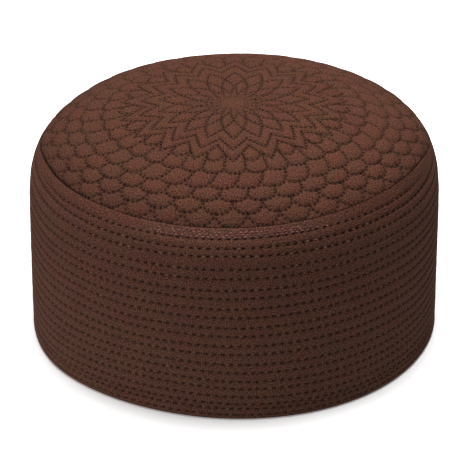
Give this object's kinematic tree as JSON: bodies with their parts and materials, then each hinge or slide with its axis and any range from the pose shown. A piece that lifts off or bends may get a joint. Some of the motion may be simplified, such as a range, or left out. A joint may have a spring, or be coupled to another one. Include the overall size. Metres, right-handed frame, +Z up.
{
  "type": "kufi",
  "caption": "Round brimless cap with a low domed crown quilted in leaves and fish scales, and an upright band stitched in level rows; it is worn on the head.",
  "frame": {"origin": "centre of the rim, on the plane that the cap rests on", "axes": "+Z up along the cap's axis to the crown; -Y towards the side that the picture shows"},
  "size_m": [0.1864, 0.1864, 0.1095],
  "materials": {
    "crown_cloth": "matt dark brown cloth, quilted with thread of the same brown",
    "band_cloth": "matt dark brown cloth, stitched in level rows with thread of the same brown"
  },
  "bodies": {
    "root": {"crown": "crown_cloth", "band": "band_cloth"}
  },
  "joints": []
}
